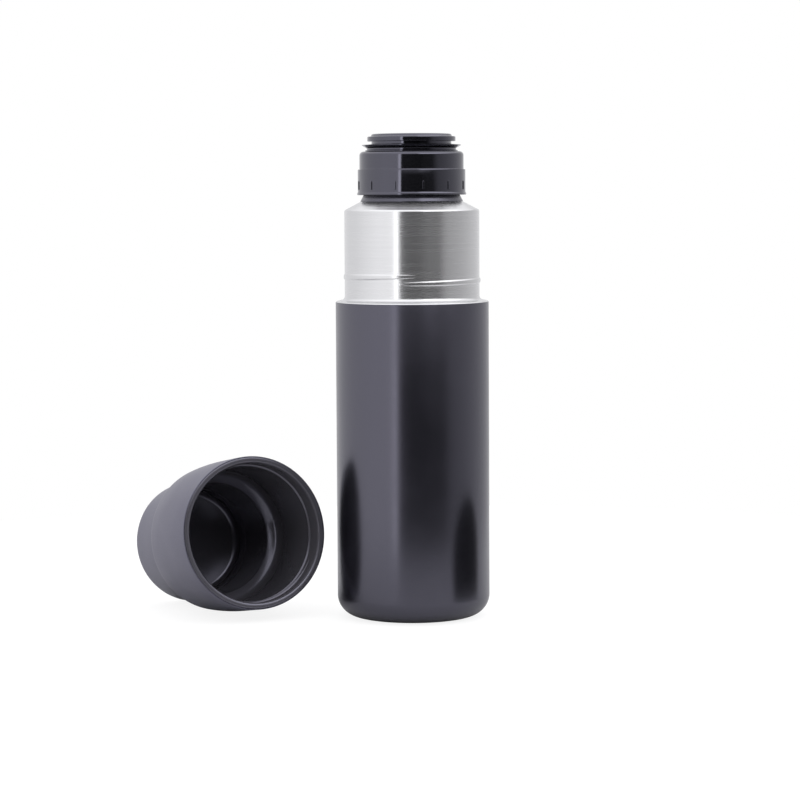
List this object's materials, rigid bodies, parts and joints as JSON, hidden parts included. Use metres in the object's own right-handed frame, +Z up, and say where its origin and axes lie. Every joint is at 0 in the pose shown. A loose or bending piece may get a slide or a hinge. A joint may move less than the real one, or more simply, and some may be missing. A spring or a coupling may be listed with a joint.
{
  "type": "vacuum flask",
  "caption": "Slim vacuum flask with a brushed steel neck, a ribbed press-to-pour screw stopper and a stepped drinking cup lying beside it.",
  "frame": {"origin": "on the flask's axis, at the face of the rubber pad that it stands on", "axes": "+Z up along the flask's axis; the cup lies beside the flask on the -X side with its axis along Y and its mouth towards -Y"},
  "size_m": [0.151, 0.1473, 0.2368],
  "materials": {
    "body_paint": "satin",
    "neck_steel": "brushed round the axis",
    "vessel_steel": "satin",
    "pad_rubber": "matte",
    "ring_plastic": "satin",
    "foil": "bright foil",
    "getter_alloy": "sintered, matte",
    "clip_steel": "satin",
    "seal_solder": "dull",
    "stopper_gloss": "gloss",
    "button_gloss": "gloss",
    "plug_plastic": "satin",
    "foam": "matte foam",
    "silicone": "matte",
    "spring_steel": "drawn wire",
    "cup_paint": "satin",
    "liner_gloss": "gloss"
  },
  "bodies": {
    "flask": {"outer_shell": "body_paint", "neck_shell": "neck_steel", "base_cap": "body_paint", "base_pad": "pad_rubber", "inner_vessel": "vessel_steel", "inner_bottom": "vessel_steel", "neck_ring": "ring_plastic", "radiation_foil": "foil", "getter": "getter_alloy", "getter_clip": "clip_steel", "vacuum_seal": "seal_solder"},
    "gasket": {"stopper_gasket": "silicone"},
    "stopper": {"stopper_drum": "stopper_gloss", "stopper_plug": "plug_plastic", "plug_foam": "foam", "plug_base": "plug_plastic", "spout_head": "stopper_gloss", "button_spring": "spring_steel"},
    "button": {"press_button": "button_gloss", "valve_stem": "spring_steel", "valve_disc": "plug_plastic", "valve_seal": "silicone"},
    "cup": {"cup_shell": "cup_paint", "cup_liner": "liner_gloss", "cup_end_cap": "cup_paint"}
  },
  "joints": [
    {"name": "stopper_lift", "type": "slide", "parent": "flask", "child": "gasket", "axis": [0, 0, 1], "range_m": [0, 0.0561]},
    {"name": "stopper_screw", "type": "hinge", "parent": "gasket", "child": "stopper", "pos_m": [0, 0, 0.2], "axis": [0, 0, 1], "range_deg": [0, 1680]},
    {"name": "button_press", "type": "slide", "parent": "stopper", "child": "button", "axis": [0, 0, -1], "range_m": [0, 0.004], "stiffness_N_per_m": 400, "springref_m": -0.005, "deforming": ["button_spring"]},
    {"name": "cup_lift", "type": "slide", "parent": "flask", "child": "cup", "axis": [0, 0, 1], "range_m": [0, 0.3]}
  ],
  "couplings": [
    {"joint": "stopper_lift", "follows": "stopper_screw", "m_per_rad": 0.0019099}
  ]
}
